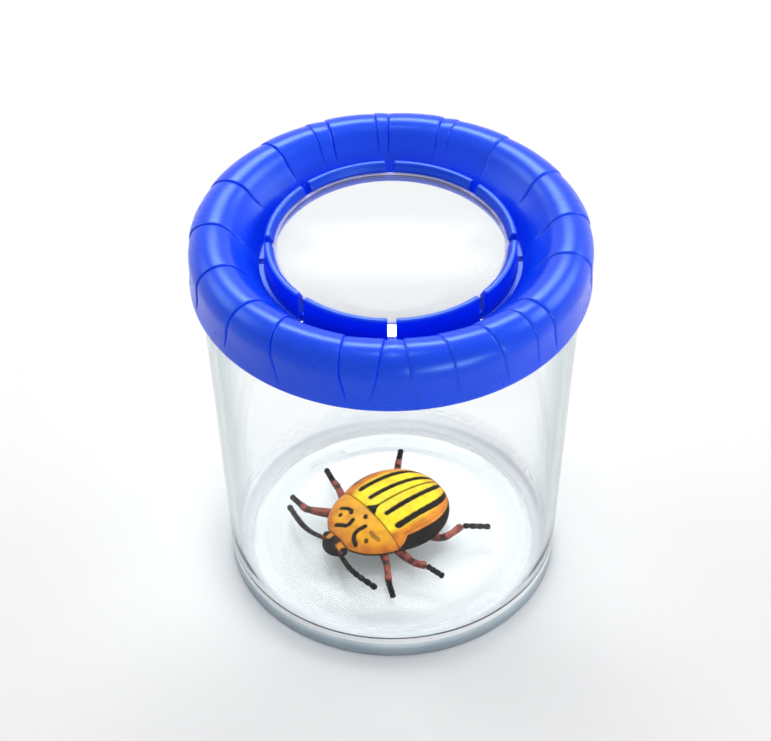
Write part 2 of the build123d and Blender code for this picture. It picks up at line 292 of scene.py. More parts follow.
# Feelers, legs and feet
FEELER_POINTS = {
    "left": ((19.0, 3.2, 0.2), (20.1, 7.4, 0.8), (20.2, 11.4, 0.7), (18.4, 17.2, -0.4)),
    "right": ((19.2, -2.4, 0.2), (20.9, -5.2, 0.9), (21.3, -8.9, 0.9), (19.9, -16.6, -0.4)),
}
FEELER_BEADS = 11
FEELER_RADIUS = 0.72
FEELER_WAIST = 0.42
FEELER_ROOT = 0.8  # share of the full thickness at the root
FEELER_GROWTH = 0.25  # added to that share at the tip
FEELER_ROOT_INK = 0.35
FEELER_INK_RISE = 5.0  # how fast a feeler turns black from its root
LEG_POINTS = {
    "front_left": ((9.8, 7.6, -1.6), (12.0, 12.3, -0.8), (14.6, 16.6, -1.4), (16.1, 20.4)),
    "front_right": ((10.8, -7.6, -1.6), (16.4, -13.0, -0.8), (16.8, -15.8, -1.4), (16.7, -20.3)),
    "middle_left": ((6.8, 8.0, -1.7), (6.6, 15.0, -0.9), (4.5, 17.6, -1.4), (3.0, 22.2)),
    "middle_right": ((8.4, -8.0, -1.7), (6.7, -14.8, -0.8), (6.2, -17.2, -1.3), (4.7, -22.8)),
    "hind_left": ((-1.0, 8.0, -1.7), (-3.7, 13.0, -1.0), (-9.9, 12.7, -1.2), (-15.7, 16.3)),
    "hind_right": ((-5.0, -8.0, -1.7), (-9.0, -11.8, -0.9), (-10.8, -13.8, -1.4), (-14.0, -17.1)),
}
# Shape of a leg: place, which is 0 at the hip, 1 at the knee and 2 at the ankle, and radius there
LEG_SHAPE = ((0.0, 0.0), (0.02, 0.75), (0.12, 1.12), (0.4, 1.15), (0.8, 0.95), (1.0, 0.78),
             (1.12, 0.92), (1.5, 0.82), (1.82, 0.98), (1.95, 0.8), (2.0, 0.0))
# Dark places of a leg: place, half width and the width over which the dark falls away
LEG_DARK = ((1.0, 0.06, 0.12), (2.0, 0.02, 0.15), (0.0, 0.1, 0.35))
LEG_INK = 0.85
LEG_FLUTE = 0.1  # depth of the flutes along a leg
LEG_FLUTES = 4
LEG_STEPS = 60
BEETLE_FOOT_BEADS = 4
BEETLE_FOOT_RADIUS = 0.74
BEETLE_FOOT_WAIST = 0.44
LIMB_SIDES = 28
BEAD_STEPS = 10
BEAD_POWER = 0.7  # below 1 a bead is fuller than a sine wave
BEAD_CLOSE = 6  # how fast the first and last beads close

# Camera, fitted to the photograph's frame of 771 by 741 pixels
FRAME_WIDTH = 771.0
FOCAL_PIXELS = 2434.6
CAMERA_AIM = (-1.4, 0.0, 53.3)
CAMERA_DISTANCE = 545.0
CAMERA_ELEVATION = 42.78
CAMERA_ROLL = -0.556
SENSOR_WIDTH = 36.0
CAMERA_NEAR = 0.01  # nearest thing that shows, in metres

# Floor, world and lamps, in metres; a lamp has a name, a place, a size across and up, and a radiance
FLOOR_HALF = 1.6
FLOOR_ROUGH = 0.8
FLOOR_GLOW = 0.06  # own brightness of the floor round the jar
FLOOR_FAR_GLOW = 0.9  # and far away, where it runs into the background
FLOOR_FADE = (0.35, 1.3)  # distances between which it grows
WORLD_LEVEL = 0.3  # of the world's light on things
WORLD_SEEN = 1.0  # of the world as a background
LAMP_MIDDLE = (0.5, 0.5, 0.0)  # in a lamp's own coordinates
LAMP_EDGE = 0.5  # distance from there to its edge
LAMP_CORE = 0.2  # share of that distance that is fully bright
LAMPS = (
    ("overhead", (0.0, -0.05, 1.2), (0.35, 0.35), 10.0),
    ("back", (0.0, 0.78, 0.95), (1.3, 0.5), 13.0),
    ("left", (-0.9, 0.35, 0.7), (1.0, 0.9), 3.2),
    ("right", (0.9, 0.35, 0.7), (1.0, 0.9), 5.2),
    ("front_right", (0.5, -0.75, 0.22), (0.8, 0.4), 8.0),
)

# Colours that drift, as linear red, green and blue: the dark and the light one, and bumps for each metre
BLUE = (0.0018, 0.050, 0.86), (0.0026, 0.060, 0.92), 40.0
# Painted shade, grey, on the jar's foot and the lens's rim
PAINTED_SHADE_GREY = (0.42, 0.52, 0.60), (0.50, 0.60, 0.68), 90.0
# Painted shade, a dark line round the foot's lower edge
FOOT_LINE_SHADE = (0.03, 0.045, 0.08), (0.05, 0.065, 0.11), 300.0
LAND_MILK = (0.40, 0.40, 0.72), (0.62, 0.62, 0.92), 300.0
# Painted highlight, pale, on the jar's floor corner and the arc on its wall
PAINTED_HIGHLIGHT_MILK = (0.90, 0.92, 0.96), (0.96, 0.97, 1.0), 300.0
YELLOW = (0.66, 0.49, 0.006), (0.84, 0.67, 0.010), 350.0
ORANGE = (0.44, 0.11, 0.004), (0.66, 0.22, 0.010), 350.0
AMBER = (0.54, 0.22, 0.004), (0.74, 0.36, 0.006), 350.0
RUST = (0.085, 0.011, 0.008), (0.36, 0.085, 0.055), 700.0
INK = (0.003, 0.0022, 0.0022), (0.009, 0.004, 0.003), 900.0
FLOOR_PALE = (0.80, 0.80, 0.80), (0.82, 0.82, 0.82), 3.0
DRIFT_STOPS = (0.3, 0.7)  # where in the noise a drift of colour starts and ends
NOISE_DETAIL = 3.0

# Finish of the materials; grains, pits and drifts are bumps for each metre
WHITE = (1.0, 1.0, 1.0)
BLUE_GLOSS = (0.5, 0.95, 1.0)
BLUE_ROUGH = (0.25, 0.31)
BLUE_ROUGH_DRIFT = 60.0
BLUE_GRAIN = 3000.0
BLUE_GRAIN_DEPTH = 0.002
BLUE_GRAIN_STRENGTH = 0.3
CLEAR_INDEX = 1.49
CLEAR_ROUGH = 0.01
CLEAR_GLOSS = (0.0, 0.0, 0.0)
CLEAR_TINT = (0.3, 0.475, 0.5)
CLEAR_DENSITY = 30.0
LENS_TINT = (0.6, 0.66, 0.72)
LENS_DENSITY = 25.0
# Painted shade at the glancing edges of the clear plastic, grey-green
EDGE_PAINTED_SHADE = (0.4, 0.52, 0.55)
EDGE_FACING = (0.6, 0.88)  # from where to where a surface turns away enough to take its painted edge shade
PAINTED_SHADE_MILK = 0.6  # share of the painted shade that is dull and milky
FOOT_SHADE = (0.12, 0.15, 0.2)  # lamp light that the thick foot lets through
GROUND_CLEAR = 0.1  # clearness left on the milky lens land and where shade, line or highlight is painted
GROUND_ROUGH = 0.6
PAINT_GLOSS = (0.12, 0.02)  # of the coloured and of the black paint
PAINT_ROUGH = (0.28, 0.45)
SHIELD_ROUGH = (0.25, 0.42)
PAINT_ROUGH_DRIFT = 600.0
PAINT_PITS = 2200.0
PIT_DETAIL = 2.0
PIT_DEPTH = 0.12
PIT_STRENGTH = 0.5

# Mesh finish
ROUND_STEPS = 7  # points of a rounded corner
WELD = 0.002  # points closer than this are one
CRISP_ANGLE = 38.0  # edges sharper than this stay sharp


def rounded(corners, steps=ROUND_STEPS):
    """Closed outline through (radius, height, round) corners.

    A corner with a round becomes an arc that touches both sides; the arc's points swing evenly from the
    direction of one touching point to the other, as seen from the arc's centre on the corner's bisector.
    """
    points = np.array([corner[:2] for corner in corners], float)
    back = np.roll(points, 1, 0) - points
    ahead = np.roll(points, -1, 0) - points
    back /= np.linalg.norm(back, axis=1, keepdims=True)
    ahead /= np.linalg.norm(ahead, axis=1, keepdims=True)
    outline = []
    for point, one, two, corner in zip(points, back, ahead, corners):
        radius = corner[2]
        if radius == 0:
            outline.append(point[None])
            continue
        half = np.arccos(one @ two) / 2
        turn = np.pi - 2 * half
        middle = point + (one + two) / np.linalg.norm(one + two) * radius / np.sin(half)
        start = point + one * radius / np.tan(half) - middle
        end = point + two * radius / np.tan(half) - middle
        share = np.linspace(0, 1, steps)[:, None]
        swing = np.sin((1 - share) * turn) * start + np.sin(share * turn) * end
        outline.append(middle + swing / np.sin(turn))
    return np.concatenate(outline)


def refined(outline, step, closed=True):
    """The same outline with extra points on its sides, so that no side is longer than step."""
    starts = outline if closed else outline[:-1]
    ends = np.roll(outline, -1, 0) if closed else outline[1:]
    counts = np.maximum(np.ceil(np.linalg.norm(ends - starts, axis=1) / step), 1).astype(int)
    first = np.repeat(starts, counts, 0)
    run = np.repeat(ends - starts, counts, 0)
    place = np.concatenate([np.arange(count) / count for count in counts])
    fine = first + run * place[:, None]
    return fine if closed else np.concatenate([fine, outline[-1:]])


def turned(outline, angles):
    """Outline of radius and height carried round the Z axis: each row is one outline point at all angles."""
    radius, height = outline.T
    turn = np.radians(angles)
    across = np.outer(radius, np.cos(turn))
    along = np.outer(radius, np.sin(turn))
    return np.stack([across, along, np.repeat(height[:, None], len(angles), 1)], -1)


def shell(points, close_rows=False, close_columns=True, caps=False, **paint):
    """Grid of points as flat points, faces and painted values.

    Each four-sided face joins a point to its neighbours along both directions; caps close the first and the
    last row with one face each.
    """
    rows, columns = points.shape[:2]
    row, column = np.meshgrid(
        np.arange(rows if close_rows else rows - 1),
        np.arange(columns if close_columns else columns - 1),
        indexing="ij",
    )
    next_row = (row + 1) % rows * columns
    next_column = (column + 1) % columns
    row = row * columns
    faces = np.stack([row + column, row + next_column, next_row + next_column, next_row + column], -1)
    faces = faces.reshape(-1, 4).tolist()
    if caps:
        faces.append(list(range(columns)))
        faces.append(list(range((rows - 1) * columns, rows * columns)))
    values = {name: np.broadcast_to(value, (rows, columns)).ravel() for name, value in paint.items()}
    return points.reshape(-1, 3), faces, values


def add_piece(name, shells, material, body, node, crisp=CRISP_ANGLE):
    """Write shells as one mesh in metres, weld its seams, turn its faces outwards and put it on its body."""
    faces = []
    start = 0
    for points, shell_faces, values in shells:
        faces += [[corner + start for corner in face] for face in shell_faces]
        start += len(points)
    mesh = bpy.data.meshes.new(name)
    mesh.from_pydata((np.concatenate([points for points, _, _ in shells]) * MM).tolist(), [], faces)
    for paint in shells[0][2]:
        layer = mesh.attributes.new(paint, "FLOAT", "POINT")
        painted = np.concatenate([values[paint] for _, _, values in shells])
        layer.data.foreach_set("value", painted.astype(np.float32))
    welded = bmesh.new()
    welded.from_mesh(mesh)
    bmesh.ops.remove_doubles(welded, verts=welded.verts, dist=WELD * MM)
    bmesh.ops.recalc_face_normals(welded, faces=welded.faces)
    welded.to_mesh(mesh)
    welded.free()
    mesh.shade_smooth()
    mesh.set_sharp_from_angle(angle=math.radians(crisp))
    mesh.materials.append(material)
    piece = bpy.data.objects.new(name, mesh)
    bpy.context.scene.collection.objects.link(piece)
    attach(piece, body)
    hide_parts(node)
    return piece


def fall(distance, half, soft):
    """1 within half of a centre line, falling smoothly to 0 over the distance soft."""
    share = np.clip((half + soft - distance) / soft, 0, 1)
    return share * share * (3 - 2 * share)


# Materials


def new_material(name):
    """New material with its node tree and its Principled shader."""
    material = bpy.data.materials.new(name)
    material.use_nodes = True
    tree = material.node_tree
    return material, tree, tree.nodes["Principled BSDF"]


def add_noise(tree, scale, detail=NOISE_DETAIL):
    """Noise over the piece's own coordinates, with scale in bumps for each metre."""
    place = tree.nodes.new("ShaderNodeTexCoord")
    noise = tree.nodes.new("ShaderNodeTexNoise")
    noise.inputs["Scale"].default_value = scale
    noise.inputs["Detail"].default_value = detail
    tree.links.new(place.outputs["Object"], noise.inputs["Vector"])
    return noise.outputs["Fac"]


def add_ramp(tree, factor, stops):
    """Colour ramp through (position, colour) stops."""
    ramp = tree.nodes.new("ShaderNodeValToRGB")
    elements = ramp.color_ramp.elements
    for index, (position, colour) in enumerate(stops):
        element = elements[index] if index < 2 else elements.new(position)
        element.position = position
        element.color = (*colour, 1.0)
    tree.links.new(factor, ramp.inputs["Fac"])
    return ramp.outputs["Color"]


def add_mix(tree, factor, one, two):
    """Colour one where factor is 0 and colour two where it is 1."""
    mix = tree.nodes.new("ShaderNodeMix")
    mix.data_type = "RGBA"
    tree.links.new(factor, mix.inputs["Factor"])
    tree.links.new(one, mix.inputs["A"])
    tree.links.new(two, mix.inputs["B"])
    return mix.outputs["Result"]


def add_math(tree, operation, one, two):
    """Result of an operation on two values."""
    step = tree.nodes.new("ShaderNodeMath")
    step.operation = operation
    tree.links.new(one, step.inputs[0])
    tree.links.new(two, step.inputs[1])
    return step.outputs["Value"]


def add_range(tree, factor, low, high, start=0.0, end=1.0, run="LINEAR"):
    """Carry a factor from start..end to low..high."""
    span = tree.nodes.new("ShaderNodeMapRange")
    span.interpolation_type = run
    span.inputs["From Min"].default_value = start
    span.inputs["From Max"].default_value = end
    span.inputs["To Min"].default_value = low
    span.inputs["To Max"].default_value = high
    tree.links.new(factor, span.inputs["Value"])
    return span.outputs["Result"]


def add_painted(tree, name):
    """The values painted on the mesh under a name."""
    painted = tree.nodes.new("ShaderNodeAttribute")
    painted.attribute_name = name
    return painted.outputs["Fac"]


def add_bump(tree, shader, height, depth, strength):
    """Bump of a depth in millimetres on a shader."""
    bump = tree.nodes.new("ShaderNodeBump")
    bump.inputs["Strength"].default_value = strength
    bump.inputs["Distance"].default_value = depth * MM
    tree.links.new(height, bump.inputs["Height"])
    tree.links.new(bump.outputs["Normal"], shader.inputs["Normal"])


def mottled(tree, dark, light, drift):
    """Colour that drifts softly between dark and light."""
    start, end = DRIFT_STOPS
    colour = add_ramp(tree, add_noise(tree, drift), ((start, dark), (end, light)))
    colour.node.color_ramp.interpolation = "EASE"
    return colour


def blue_plastic():
    """Satin blue moulding with a faint drift of colour and a fine, uneven gloss."""
    material, tree, shader = new_material("blue_plastic")
    tree.links.new(mottled(tree, *BLUE), shader.inputs["Base Color"])
    rough = add_range(tree, add_noise(tree, BLUE_ROUGH_DRIFT), *BLUE_ROUGH)
    tree.links.new(rough, shader.inputs["Roughness"])
    shader.inputs["Specular Tint"].default_value = (*BLUE_GLOSS, 1.0)
    add_bump(tree, shader, add_noise(tree, BLUE_GRAIN), BLUE_GRAIN_DEPTH, BLUE_GRAIN_STRENGTH)
    return material


def clear_plastic(name, tint, density, milk):
    """Clear moulding: it bends light, tints it by the way it goes inside, and lets lamp light through.

    Where it turns away from the eye it takes painted shade, a grey-green tint at its edges. Where shade is
    painted, on the foot and the lens's rim, it is greyer as painted shade and holds some lamp light back.
    Where line is painted it is dark, a painted shade along the foot's lower edge. Where ground is painted it
    is milky: on the lens's land as its own finish, on the jar's floor corner and wall arc as a painted
    highlight. These three are dull only as seen from outside.
    """
    material, tree, shader = new_material(name)
    shader.inputs["IOR"].default_value = CLEAR_INDEX
    shader.inputs["Specular Tint"].default_value = (*CLEAR_GLOSS, 1.0)
    # Painted shade: grey-green where the surface turns away from the eye
    turned_away = tree.nodes.new("ShaderNodeLayerWeight")
    facing = turned_away.outputs["Facing"]
    start, end = EDGE_FACING
    body = add_ramp(tree, facing, ((start, WHITE), (end, EDGE_PAINTED_SHADE)))
    sides = tree.nodes.new("ShaderNodeNewGeometry")
    seen_outside = add_range(tree, sides.outputs["Backfacing"], 1.0, 0.0)
    # Painted shade: grey on the foot and the lens's rim, seen from outside
    shade = add_math(tree, "MULTIPLY", add_painted(tree, "shade"), seen_outside)
    body = add_mix(tree, shade, body, mottled(tree, *PAINTED_SHADE_GREY))
    # Painted highlight on the jar; on the lens, its milky land
    ground = add_painted(tree, "ground")
    body = add_mix(tree, ground, body, mottled(tree, *milk))
    # Painted shade: the dark line round the foot's lower edge
    line = add_painted(tree, "line")
    body = add_mix(tree, line, body, mottled(tree, *FOOT_LINE_SHADE))
    tree.links.new(body, shader.inputs["Base Color"])
    painted_shade_dull = add_range(tree, shade, 0.0, PAINTED_SHADE_MILK)
    dull = add_math(tree, "MAXIMUM", add_math(tree, "MAXIMUM", ground, line), painted_shade_dull)
    dull = add_math(tree, "MULTIPLY", dull, seen_outside)
    tree.links.new(add_range(tree, dull, 1.0, GROUND_CLEAR), shader.inputs["Transmission Weight"])
    tree.links.new(add_range(tree, dull, CLEAR_ROUGH, GROUND_ROUGH), shader.inputs["Roughness"])
    path = tree.nodes.new("ShaderNodeLightPath")
    through = tree.nodes.new("ShaderNodeBsdfTransparent")
    held_back = add_ramp(tree, add_painted(tree, "shade"), ((0.0, WHITE), (1.0, FOOT_SHADE)))
    tree.links.new(held_back, through.inputs["Color"])
    mix = tree.nodes.new("ShaderNodeMixShader")
    tree.links.new(path.outputs["Is Shadow Ray"], mix.inputs["Fac"])
    tree.links.new(shader.outputs["BSDF"], mix.inputs[1])
    tree.links.new(through.outputs["BSDF"], mix.inputs[2])
    inside = tree.nodes.new("ShaderNodeVolumeAbsorption")
    inside.inputs["Color"].default_value = (*tint, 1.0)
    inside.inputs["Density"].default_value = density
    output = tree.nodes["Material Output"]
    tree.links.new(mix.outputs["Shader"], output.inputs["Surface"])
    tree.links.new(inside.outputs["Volume"], output.inputs["Volume"])
    return material


def painted_toy(name, rough, colour, warm_colour=None):
    """Painted toy plastic with fine pits: its colour, orange where warm is painted, black where ink is."""
    material, tree, shader = new_material(name)
    ground = mottled(tree, *colour)
    if warm_colour:
        ground = add_mix(tree, add_painted(tree, "warm"), ground, mottled(tree, *warm_colour))
    ink = add_painted(tree, "ink")
    tree.links.new(add_mix(tree, ink, ground, mottled(tree, *INK)), shader.inputs["Base Color"])
    tree.links.new(add_range(tree, ink, *PAINT_GLOSS), shader.inputs["Specular IOR Level"])
    uneven = add_noise(tree, PAINT_ROUGH_DRIFT)
    tree.links.new(add_range(tree, uneven, *rough), shader.inputs["Roughness"])
    add_bump(tree, shader, add_noise(tree, PAINT_PITS, PIT_DETAIL), PIT_DEPTH, PIT_STRENGTH)
    return material


blue = blue_plastic()
clear = clear_plastic("clear_plastic", CLEAR_TINT, CLEAR_DENSITY, PAINTED_HIGHLIGHT_MILK)
lens_clear = clear_plastic("lens_plastic", LENS_TINT, LENS_DENSITY, LAND_MILK)
wing_paint = painted_toy("wing_paint", PAINT_ROUGH, YELLOW, ORANGE)
shield_paint = painted_toy("shield_paint", SHIELD_ROUGH, AMBER, ORANGE)
rust_paint = painted_toy("rust_paint", PAINT_ROUGH, RUST)


# Clear jar


def tick_rise(radius, angle):
    """Height of the ticks above the floor: full on a tick, falling away past its half width and length."""
    step = math.degrees(TICK_PITCH / TICK_ROW_RADIUS)
    last = (TICK_COUNT - 1) / 2
    rise = np.zeros(np.broadcast(radius, angle).shape)
    for row_angle in TICK_ROW_ANGLES:
        count = ((angle - row_angle + 180) % 360 - 180) / step
        nearest = np.clip(np.round(count + last), 0, 2 * last) - last
        across = np.abs(count - nearest) * TICK_PITCH
        along = np.abs(radius - TICK_ROW_RADIUS)
        rise += fall(across, TICK_WIDTH / 2, TICK_SOFT) * fall(along, TICK_LENGTH / 2, TICK_SOFT)
    return TICK_RISE * rise


def jar_angles():
    """Angles round the jar: even steps, and finer ones where the ticks stand."""
    span = math.degrees(TICK_COUNT * TICK_PITCH / TICK_ROW_RADIUS)
    even = np.arange(0, 360, JAR_ANGLE_STEP)
    groups = []
    for row_angle in TICK_ROW_ANGLES:
        off_row = np.abs((even - row_angle + 180) % 360 - 180) > span / 2 + JAR_ANGLE_STEP / 2
        even = even[off_row]
        groups.append((row_angle + np.linspace(-span / 2, span / 2, TICK_COUNT * TICK_COLUMNS + 1)) % 360)
    return np.sort(np.concatenate([even, *groups]))


def clear_jar():
    """Foot, wall, rim and floor as one outline turned about Z; the floor is raised by the ticks."""
    ring_inside = JAR_FOOT_RADIUS - FOOT_ROUND - FOOT_RING
    taper = (JAR_RIM_RADIUS - JAR_FOOT_RADIUS) / jar_height
    floor_edge = JAR_FOOT_RADIUS + taper * FLOOR_TOP - JAR_WALL
    arc_reach = ARC_HALF + ARC_SOFT
    arc_heights = np.linspace(ARC_HEIGHT - arc_reach, ARC_HEIGHT + arc_reach, ARC_STEPS)
    arc = [(JAR_FOOT_RADIUS + taper * height, height, 0) for height in arc_heights]
    corners = (
        (0, FOOT_RECESS, 0),
        (ring_inside - RECESS_RUN, FOOT_RECESS, FOOT_SOFT),
        (ring_inside, 0, FOOT_SOFT),
        (JAR_FOOT_RADIUS, 0, FOOT_ROUND),
        *arc,
        (JAR_RIM_RADIUS, jar_height, RIM_ROUND),
        (JAR_RIM_RADIUS - JAR_WALL, jar_height, RIM_ROUND),
        (floor_edge, FLOOR_TOP, FLOOR_ROUND),
        (0, FLOOR_TOP, 0),
    )
    outline = rounded(corners)[:-1]
    half = TICK_LENGTH / 2 + 2 * TICK_SOFT
    tick_radii = TICK_ROW_RADIUS + np.linspace(half, -half, TICK_RINGS)
    inner_radii = np.linspace(TICK_ROW_RADIUS - half, 0, INNER_RINGS)[1:]
    floor_radii = np.concatenate([tick_radii, inner_radii])
    outline = refined(outline, WALL_STEP, closed=False)
    floor_line = np.stack([floor_radii, np.full(len(floor_radii), FLOOR_TOP)], -1)
    outline = np.concatenate([outline, floor_line])
    angles = jar_angles()
    points = turned(outline, angles)
    on_floor = np.arange(len(outline)) >= len(outline) - len(floor_radii)
    points[on_floor, :, 2] += tick_rise(floor_radii[:, None], angles[None])
    radius, height = outline.T
    outer = np.clip((radius - ring_inside) / FOOT_RING, 0, 1)
    outside = np.arange(len(outline)) < np.argmax(height)
    # Painted shade on the foot's outside, up to the floor's height
    shade = outside * outer * fall(height, FLOOR_TOP, SHADE_HEIGHT)
    # Painted shade: a dark line along the foot's lower edge
    line = outside * fall(height, LINE_HEIGHT, LINE_SOFT) * (radius > JAR_FOOT_RADIUS - FOOT_ROUND)
    # Painted highlight: a milky line along the floor's inner corner, and a pale arc on the outer wall
    corner = fall(np.hypot(radius - floor_edge, height - FLOOR_TOP), CORNER_REACH, CORNER_SOFT)
    painted_highlight_arc = outside * fall(np.abs(height - ARC_HEIGHT), ARC_HALF, ARC_SOFT)
    ground = np.where(outside, ARC_STRENGTH * painted_highlight_arc, CORNER_STRENGTH * corner)
    jar = shell(points, shade=shade[:, None], line=line[:, None], ground=ground[:, None])
    add_piece("clear_jar", [jar], clear, "jar", "jar_body", crisp=JAR_CRISP)


# Lens

lens_angles = np.arange(LENS_ANGLES) * 360 / LENS_ANGLES


def magnifier():
    """Two domes on a disc: a rise h over a circle of radius a gives a sphere of radius (a*a + h*h) / 2h."""
    seat = jar_height - SEAT_DROP
    top = seat + LENS_RIM
    dome_radius = lens_radius - LENS_LAND
    radius = np.linspace(0, dome_radius, LENS_RINGS)
    swells = []
    for rise in (seat - lens_low[2], lens_high[2] - top):
        sphere = (dome_radius**2 + rise**2) / (2 * rise)
        swells.append(np.sqrt(sphere**2 - radius**2) - (sphere - rise))
    edge = np.array((
        (lens_radius - LENS_BEVEL, seat),
        (lens_radius, seat + LENS_BEVEL),
        (lens_radius, top - LENS_BEVEL),
        (lens_radius - LENS_BEVEL, top),
        (dome_radius + LAND_SOFT, top),
    ))
    lower = np.stack([radius, seat - swells[0]], -1)
    upper = np.stack([radius, top + swells[1]], -1)[::-1]
    outline = np.concatenate([lower, edge, upper])
    on_land = (outline[:, 0] > dome_radius) & (outline[:, 1] == top)
    # Painted shade: the lens greys towards its rim
    shade = LENS_SHADE * (outline[:, :1] / lens_radius) ** LENS_SHADE_POWER
    ground = on_land.astype(float)[:, None]
    lens = shell(turned(outline, lens_angles), shade=shade, line=0.0, ground=ground)
    add_piece("magnifier", [lens], lens_clear, "lid", "lens", crisp=LENS_CRISP)


# Ring lid


def slope_angle():
    """Angle of the inner slope, which starts at the groove's edge and is tangent to the crown."""
    across = crown_radius - groove_edge
    rise = EDGE_DROP
    return math.atan2(rise, across) + math.asin(crown_round / math.hypot(across, rise))


clip_inside = lens_radius + LENS_CLEARANCE
clip_outside = clip_inside + CLIP_WALL
groove_edge = clip_outside + TROUGH_WIDTH
trough_floor = jar_height - TROUGH_DEPTH
lid_underside = trough_floor - LID_WALL


def crown_arc(radius, angles):
    """Corners along an arc about the crown's centre."""
    across = crown_radius + radius * np.cos(angles)
    height = jar_height + radius * np.sin(angles)
    return [(*corner, 0) for corner in zip(across, height)]


def ring_outline():
    """Closed outline of the ring: from the skirt's lower edge over crown and slope, and back underneath."""
    slope = slope_angle()
    crown_end = slope + math.pi / 2
    crown = crown_arc(crown_round, np.linspace(0, crown_end, CROWN_STEPS))
    under_round = crown_round - LID_WALL
    stop_inside = JAR_RIM_RADIUS - STOP_WIDTH
    under_start = math.acos((stop_inside - crown_radius) / under_round)
    under = crown_arc(under_round, np.linspace(crown_end, under_start, CROWN_STEPS // 2))
    groove_outside = groove_edge + LID_WALL
    slope_under = under[0][1] - (under[0][0] - groove_outside) * math.tan(slope)
    skirt_inside = lid_radius - SKIRT_WALL
    corners = (
        (lid_radius, skirt_bottom, SKIRT_ROUND),
        *crown,
        (groove_edge, jar_height - EDGE_DROP, EDGE_ROUND),
        (groove_edge, lid_underside, 0),
        (groove_outside, lid_underside, SKIRT_LIP),
        (groove_outside, slope_under, 0),
        *under,
        (stop_inside, jar_height, 0),
        (skirt_inside, jar_height, 0),
        (skirt_inside, skirt_bottom, SKIRT_LIP),
    )
    return refined(rounded(corners), LID_STEP)


def crease_columns():
    """Columns round the ring: for each its crease, and its share of the way to the next one.

    Shares crowd towards both creases, as even steps less a sine wave over the segment.
    """
    shoulder = np.array([crease[1] for crease in CREASES])
    span = np.diff(np.append(shoulder, shoulder[0] + 360))
    counts = np.round(np.radians(span) * lid_radius / COLUMN_WIDTH)
    counts = np.maximum(counts, LEAST_COLUMNS).astype(int)
    even = np.concatenate([np.arange(count) / count for count in counts])
    share = even - COLUMN_CROWD * np.sin(2 * np.pi * even) / (2 * np.pi)
    return np.repeat(np.arange(len(CREASES)), counts), share


def ring_shell():
    """Outline turned about Z with columns that follow the creases, pressed in along them.

    Pressed depth at a distance d from a crease: groove * exp(-(d / width)^2) + dip * exp(-d / roll). Each
    segment also leans, its front end standing over the next one.
    """
    outline = ring_outline()
    run = np.concatenate([[0], np.cumsum(np.linalg.norm(np.diff(outline, axis=0), axis=1))])
    shoulder_run = run[np.argmin(np.hypot(outline[:, 0] - lid_radius, outline[:, 1] - jar_height))]
    edge_run = run[np.argmin(np.hypot(outline[:, 0] - groove_edge, outline[:, 1] - jar_height + EDGE_DROP))]
    low, shoulder, slope, depth = np.array(CREASES).T
    level = np.interp(run, (0, shoulder_run, edge_run, run[-1]), (-1, 0, 1, -1))[:, None]
    crease = shoulder + np.where(level < 0, (shoulder - low) * level, (slope - shoulder) * level)
    following = np.concatenate([crease[:, 1:], crease[:, :1] + 360], 1)
    before, share = crease_columns()
    span = (following - crease)[:, before]
    angle = crease[:, before] + share * span
    to_before = np.radians(share * span) * outline[:, :1]
    to_after = np.radians((1 - share) * span) * outline[:, :1]
    pressed = np.zeros(angle.shape)
    for distance, strength in ((to_before, depth[before]), (to_after, np.roll(depth, -1)[before])):
        pressed += strength * CREASE_GROOVE * np.exp(-((distance / CREASE_WIDTH) ** 2))
        pressed += strength * CREASE_DIP * np.exp(-distance / CREASE_ROLL)
    side = np.sign(np.cos(np.radians(angle)))
    pressed += SEGMENT_LEAN * (0.5 + (share - 0.5) * side)
    fade_in = np.clip((run - CREASE_FOOT) / CREASE_FADE, 0, 1)
    fade_out = np.clip((edge_run - CREASE_FADE - run) / CREASE_FADE, 0, 1)
    pressed *= (fade_in * fade_out)[:, None]
    tangent = np.roll(outline, -1, 0) - np.roll(outline, 1, 0)
    tangent /= np.linalg.norm(tangent, axis=1, keepdims=True)
    outward = np.stack([tangent[:, 1], -tangent[:, 0]], -1)
    radius = outline[:, :1] - pressed * outward[:, :1]
    height = outline[:, 1:] - pressed * outward[:, 1:]
    turn = np.radians(angle)
    return shell(np.stack([radius * np.cos(turn), radius * np.sin(turn), height], -1), close_rows=True)


def seat_shell():
    """Ring that the lens sits on, as an outline turned about Z."""
    seat = jar_height - SEAT_DROP
    seat_inside = lens_radius - LENS_LAND + SEAT_CLEARANCE
    corners = (
        (seat_inside, lid_underside, HOOK_SOFT),
        (clip_inside + ROOTED, lid_underside, 0),
        (clip_inside + ROOTED, seat, HOOK_SOFT),
        (seat_inside, seat, HOOK_SOFT),
    )
    return shell(turned(rounded(corners, SEAT_STEPS), lens_angles), close_rows=True)


